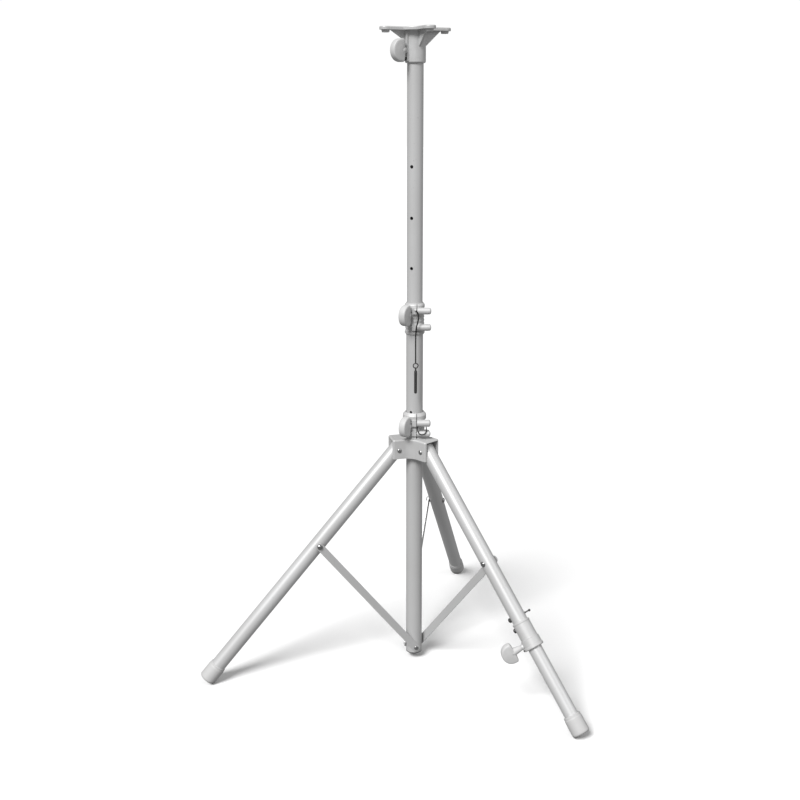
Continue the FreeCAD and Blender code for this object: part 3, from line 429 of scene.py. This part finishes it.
# ---- Inner pole ---------------------------------------------------------------------------------
# A 35 mm steel tube that slides in the centre tube, coated like it, with a row of holes for the
# lock pin. Sliding through the clamp has left fine lines along it. A nylon plug closes its top.
pole_coat = powder_coat("pole_powder_coat", 0.62)
slide_lines = pole_coat.noise(1.0, 3, pole_coat.stretched(900, 900, 2.2))
lined = pole_coat.clamped(slide_lines, 0.62, 0.75)
smudge = pole_coat.clamped(pole_coat.noise(14, 3), 0.5, 0.7)
pole_coat.set(roughness=0.38 + 0.12 * lined * smudge + 0.05 * smudge)
dress(pole_coat, "inner_pole")
dress(dark_nylon, "pole_guide_bush")
dress(nylon("pole_top_nylon", 0.05), "pole_top_plug")

# ---- Upper clamp --------------------------------------------------------------------------------
# A split collar die cast in light alloy and painted like the tubes, drawn together by two bolts
# with domed nuts. Its wing screw presses a brass pad on the pole, which a nylon ring guides.


def cast_paint(name, level):
    """Paint over a die casting: softer shapes, coarser grain, darker chips here and there."""
    cast = Finish(name, Metallic=0.2, Coat_Weight=0.1, Coat_Roughness=0.35)
    drift = cast.noise(9, 3)
    grain = cast.noise(700, 3)
    flow = cast.noise(60, 4)
    chips = cast.clamped(cast.noise(140, 2), 0.72, 0.76) * cast.clamped(drift, 0.48, 0.6)
    tone = cast.clamped(drift * 0.5 + flow * 0.35 + grain * 0.15, 0.32, 0.68)
    base = cast.between(tone, grey(level * 0.9, 0.006), grey(level * 1.05, -0.003))
    cast.set(cast.between(chips * 0.6, base, grey(level * 0.45, 0.02)),
             0.44 + 0.14 * flow + 0.05 * grain)
    cast.bump(flow * 0.5 + grain * 0.5 - chips * 0.4, 0.00012)
    return cast


collar_paint = cast_paint("collar_paint", 0.58)
brass = Finish("plain_brass", Metallic=1.0)
tarnish = brass.noise(210, 3)
brass.set(brass.between(tarnish, (0.55, 0.38, 0.14, 1), (0.72, 0.55, 0.27, 1)),
          0.3 + 0.2 * tarnish)
brass.bump(brass.noise(1800, 2), 0.00002)
black_steel = Finish("blackened_steel", Metallic=0.6)
oxide = black_steel.noise(240, 4)
streak = black_steel.noise(1.0, 2, black_steel.stretched(1200, 1200, 60))
black_steel.set(black_steel.between(oxide * 0.6 + streak * 0.4, grey(0.035), grey(0.11, 0.01)),
                0.34 + 0.2 * oxide)
black_steel.bump(streak, 0.00004)
dress(collar_paint, "upper_clamp_collar", "upper_clamp_nuts", "cord_eye")
dress(zinc_steel, "upper_clamp_bolts")
dress(nylon("pale_nylon", 0.42), "pole_bearing_ring")
dress(brass, "upper_clamp_pad", "lower_clamp_pad", "leg_clamp_pad")
dress(black_steel, "lock_pin")

# The pin hangs by a split ring of spring wire, wound flat in two turns.
ring_low, ring_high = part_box("lock_pin_ring")
ring_middle = (ring_low + ring_high) / 2
ring_reach = (ring_high.z - ring_low.z) / 2
wire_radius, ring_steps, ring_turns, wire_overlap = 0.0008, 72, 2, 0.0015
ring_data = bpy.data.curves.new("pin_split_ring", "CURVE")
ring_data.dimensions = "3D"
ring_data.bevel_depth, ring_data.bevel_resolution, ring_data.use_fill_caps = wire_radius, 3, True
winding = ring_data.splines.new("POLY")
winding.points.add(ring_steps)
ring_face = Matrix.Rotation(clamp_turn, 3, "Z")
for step, point in enumerate(winding.points):
    turn = ring_turns * 2 * pi * step / ring_steps
    reach = ring_reach - wire_radius - wire_overlap * step / ring_steps
    offset = ring_face @ Vector((reach * cos(turn), 0.0005 * cos(turn / 2), reach * sin(turn)))
    point.co = (*(ring_middle + offset), 1.0)
ring_data.materials.append(black_steel.material)
ring_carrier = bpy.data.objects.new("pin_split_ring_line", ring_data)
bpy.context.scene.collection.objects.link(ring_carrier)
split_ring = plain_mesh(ring_carrier, "pin_split_ring")
split_ring.data.shade_smooth()
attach(split_ring, "mast")
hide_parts("lock_pin_ring")

# ---- Speaker plate ------------------------------------------------------------------------------
# A light-alloy casting with four arms and stiffening webs, on a socket that drops over the pole.
# Painted like the collars; its top face is rubbed where loudspeakers have stood on it.
plate_paint = cast_paint("plate_paint", 0.57)
rub_field = plate_paint.noise(1.0, 4, plate_paint.stretched(30, 420, 40))
top_rubs = plate_paint.clamped(rub_field, 0.55, 0.7)
plate_paint.set(roughness=0.42 + 0.16 * top_rubs)
dress(plate_paint, "speaker_plate")
dress(black_steel, "socket_set_screw")

# ---- Wing knobs ---------------------------------------------------------------------------------
# Four big D-shaped grips moulded in pale grey nylon on the heads of their steel screws. The wings
# are hollowed a little on both sides, round a thicker middle, so that fingers turn them easily.
wing_half_height, wing_reach, wing_half_thickness, wing_waist = 0.0235, 0.030, 0.009, 0.0075
grip_nylon = nylon("grip_nylon", 0.5)
grip_tone = grip_nylon.noise(24, 3)
grip_nylon.set(grip_nylon.between(grip_tone, grey(0.52, 0.004), grey(0.62, -0.002)),
               0.42 + 0.16 * grip_tone)


def power(value, exponent):
    return (1 if value >= 0 else -1) * abs(value) ** exponent


def wing_outline(corners):
    """The D seen from its side: tall and nearly straight at the back, bowed in front."""
    outline = []
    for i in range(corners):
        turn = 2 * pi * i / corners
        bowed = sin(turn) >= 0
        sharpness, depth = (0.95, wing_reach - wing_waist) if bowed else (0.4, wing_waist)
        outline.append(Vector((wing_half_height * power(cos(turn), sharpness), 0,
                               wing_waist + depth * power(sin(turn), sharpness))))
    return outline


def grip_shell(mesh, corners=56):
    """The closed grip as rings from the middle of one face over the rim to the other face."""
    middle = Vector((0, 0, wing_waist + 0.003))
    face = [(0.10, 1.0), (0.26, 0.995), (0.42, 0.96), (0.60, 0.93), (0.78, 0.91), (0.89, 0.88),
            (0.945, 0.82), (0.98, 0.70), (1.0, 0.50)]
    rings = face + [(reach, -thick) for reach, thick in face[::-1]]
    loops = []
    for reach, thick in rings:
        loops.append([mesh.verts.new(middle + (point - middle) * reach
                                     + Vector((0, wing_half_thickness * thick, 0)))
                      for point in wing_outline(corners)])
    for first, second in zip(loops, loops[1:]):
        for i in range(corners):
            follow = (i + 1) % corners
            mesh.faces.new((first[i], first[follow], second[follow], second[i]))
    for loop, side in ((loops[0], 1), (loops[-1], -1)):
        centre = mesh.verts.new(middle + Vector((0, wing_half_thickness * side, 0)))
        for i in range(corners):
            mesh.faces.new((loop[i], loop[(i + 1) % corners], centre))


def turned_shell(mesh, section, corners=48):
    """A closed turned piece about local Z from (radius, height) pairs."""
    turns = [2 * pi * i / corners for i in range(corners)]
    loops = [[mesh.verts.new((radius * cos(turn), radius * sin(turn), height)) for turn in turns]
             for radius, height in section]
    for first, second in zip(loops, loops[1:]):
        for i in range(corners):
            follow = (i + 1) % corners
            mesh.faces.new((first[i], first[follow], second[follow], second[i]))
    mesh.faces.new(loops[0])
    mesh.faces.new(loops[-1])


def wing_knob(name, body, joint, stem, tip_radius):
    """A grip and its stem on the axis of its joint, in place of the plain CAD knob."""
    mesh = bmesh.new()
    grip_shell(mesh)
    turned_shell(mesh, [(tip_radius - 0.0006, -stem), (tip_radius, -stem + 0.0006),
                        (tip_radius + (0.0086 - tip_radius) * 0.5, -stem * 0.5), (0.0086, -0.0006),
                        (0.0088, 0.0), (0.0089, 0.0022), (0.0089, 0.006)])
    outward = Vector(joints[joint]["axis"]).normalized()
    raised = Vector((0, 0, 1)) - outward * outward.z
    raised.normalize()
    side = outward.cross(raised)
    seat = Vector(joints[joint]["pos_m"])
    place = Matrix((
        (raised.x, side.x, outward.x, seat.x), (raised.y, side.y, outward.y, seat.y),
        (raised.z, side.z, outward.z, seat.z), (0, 0, 0, 1)))
    mesh.transform(place)
    bmesh.ops.recalc_face_normals(mesh, faces=mesh.faces)
    data = bpy.data.meshes.new(name)
    mesh.to_mesh(data)
    mesh.free()
    data.shade_smooth()
    data.materials.append(grip_nylon.material)
    made = bpy.data.objects.new(name, data)
    bpy.context.scene.collection.objects.link(made)
    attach(made, body)
    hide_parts(body)
    return made


wing_knob("plate_wing", "plate_knob", "plate_knob_turn", 0.0060, 0.0066)
wing_knob("upper_clamp_wing", "upper_clamp_knob", "upper_clamp_knob_turn", 0.0032, 0.0072)
wing_knob("lower_clamp_wing", "lower_clamp_knob", "lower_clamp_knob_turn", 0.0012, 0.0072)
wing_knob("leg_wing", "leg_clamp_knob", "leg_clamp_knob_turn", 0.0184, 0.0056)
dress(zinc_steel, "plate_screw", "upper_clamp_screw", "lower_clamp_screw", "leg_clamp_screw")

# ---- Hub and lower clamp ------------------------------------------------------------------------
# A three-armed casting that rides on the centre tube, each arm a channel over the top of a leg with
# a pivot bolt through it. The lower clamp is bolted down on it and locks it to the tube.
hub_paint = cast_paint("hub_paint", 0.55)
dress(hub_paint, "hub_casting")
dress(collar_paint, "lower_clamp_collar", "lower_clamp_nuts")
dress(zinc_steel, "hub_pivot_nuts", "lower_clamp_bolts")

pivots = {leg: Vector(joints["leg_" + leg + "_pivot"]["pos_m"]) for leg in leg_bearings}
bolt_points = [v.co for v in frame["nodes"]["hub_pivot_bolts"].data.vertices]
hub_bolt_head, hub_bolt_rise, hub_bolt_shank, hub_bolt_end = 0.0052, 0.0028, 0.003, 0.0016
hub_face = max((point - pivots["1"]).dot(across(leg_bearings["1"])) for point in bolt_points
               if (point - pivots["1"]).length < 0.03) - hub_bolt_rise
hub_bolts = fasteners("hub_bolts", [
    (pivots[leg] + across(bearing) * hub_face, across(bearing))
    for leg, bearing in leg_bearings.items()],
    hub_bolt_head, hub_bolt_rise, hub_bolt_shank, hub_face * 2 + hub_bolt_end, zinc_steel)
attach(hub_bolts, "hub")
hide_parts("hub_pivot_bolts")

# ---- Legs and struts ----------------------------------------------------------------------------
# Three 34 mm tubes with a nylon plug in the top and a moulded cap as a foot, and three flat bars
# that brace them from the foot of the centre tube. A bolt holds each bar beside its leg.


def foot_rubber(name):
    """Pale moulded caps, scuffed, their colour darker towards the bottom where they stand."""
    cap = nylon(name, 0.5)
    height = cap.place.node("ShaderNodeSeparateXYZ", output="Z")
    # The colour darkens over the lowest 4 to 16 mm of each cap, towards the floor.
    low_darkening = 1.0 - cap.clamped(height + 0.006 * cap.noise(70, 3), 0.004, 0.016)
    tone = cap.noise(30, 3)
    clean = cap.between(tone, grey(0.46, 0.006), grey(0.56, 0.0))
    cap.set(cap.between(low_darkening * 0.75, clean, grey(0.12, 0.03)), 0.5 + 0.2 * low_darkening + 0.08 * tone)
    return cap


leg_coat = powder_coat("leg_powder_coat", 0.60)
strut_coat = powder_coat("strut_powder_coat", 0.56)
feet = foot_rubber("foot_caps")
dress(leg_coat, "leg_1_tube", "leg_2_tube", "leg_3_tube")
dress(strut_coat, "strut_1", "strut_2", "strut_3")
dress(nylon("leg_top_nylon", 0.3), "leg_1_top_plug", "leg_2_top_plug", "leg_3_top_plug")
dress(zinc_plate("strut_bolt_zinc", 0.32), "leg_1_strut_bolt", "leg_2_strut_bolt",
      "leg_3_strut_bolt")
dress(feet, "leg_1_foot", "leg_2_foot", "leg_3_foot")

# ---- Adjustable leg -----------------------------------------------------------------------------
# The lower half of leg 2 is a thinner tube that slides out of it. A cast sleeve with a wing screw
# clamps it, and a black spring pin with a ball end locks it through a slot.
sleeve_paint = cast_paint("sleeve_paint", 0.57)
dress(sleeve_paint, "leg_clamp_sleeve")
dress(powder_coat("inner_leg_powder_coat", 0.62), "leg_2_inner_tube")
dress(black_steel, "leg_sleeve_rivets", "leg_pin_socket", "leg_lock_pin")

# ---- Floor and lights ---------------------------------------------------------------------------
# A plain pale floor under soft studio light: a broad lamp high on the left, a weaker one on the
# right, and a white backdrop that gives little light of its own.
floor_data = bpy.data.meshes.new("studio_floor")
floor_radius, floor_drop, floor_corners = 30, -0.0005, 96
turns = [2 * pi * i / floor_corners for i in range(floor_corners)]
floor_data.from_pydata([(floor_radius * cos(turn), floor_radius * sin(turn), floor_drop)
                        for turn in turns], [], [tuple(range(floor_corners))])
floor = bpy.data.objects.new("studio_floor", floor_data)
bpy.context.scene.collection.objects.link(floor)
floor_finish = Finish("studio_floor", Roughness=0.9, Specular_IOR_Level=0.1)
floor_finish.set(floor_finish.between(floor_finish.noise(0.7, 2), grey(0.93), grey(0.95)))
floor_data.materials.append(floor_finish.material)
# The floor is left out of the bounced light, so that what faces down stays darker.
floor.visible_diffuse = floor.visible_glossy = False


def lamp(name, bearing, elevation, softness, strength):
    """A distant soft lamp at a bearing from the camera's, so that the floor is lit evenly."""
    data = bpy.data.lights.new(name, "SUN")
    data.angle, data.energy = radians(softness), strength
    made = bpy.data.objects.new(name, data)
    turn, rise = radians(bearing) + clamp_turn, radians(elevation)
    source = Vector((sin(turn) * cos(rise), -cos(turn) * cos(rise), sin(rise)))
    made.rotation_mode = "QUATERNION"
    made.rotation_quaternion = source.to_track_quat("Z", "Y")
    bpy.context.scene.collection.objects.link(made)


lamp("key_light", -32, 46, 24, 3.6)
lamp("fill_light", 62, 35, 40, 0.55)
sky = bpy.data.worlds.new("studio_sky")
bpy.context.scene.world = sky
sky.use_nodes = True
sky_nodes = sky.node_tree
backdrop = sky_nodes.nodes["Background"]
backdrop.inputs["Color"].default_value = (1.0, 1.0, 1.0, 1.0)
backdrop.inputs["Strength"].default_value = 1.02
room = sky_nodes.nodes.new("ShaderNodeBackground")
room.inputs["Strength"].default_value = 0.34
path = sky_nodes.nodes.new("ShaderNodeLightPath")
either = sky_nodes.nodes.new("ShaderNodeMixShader")
sky_nodes.links.new(path.outputs["Is Camera Ray"], either.inputs[0])
sky_nodes.links.new(room.outputs[0], either.inputs[1])
sky_nodes.links.new(backdrop.outputs[0], either.inputs[2])
sky_nodes.links.new(either.outputs[0], sky_nodes.nodes["World Output"].inputs[0])
bpy.context.scene.view_settings.view_transform = "Standard"
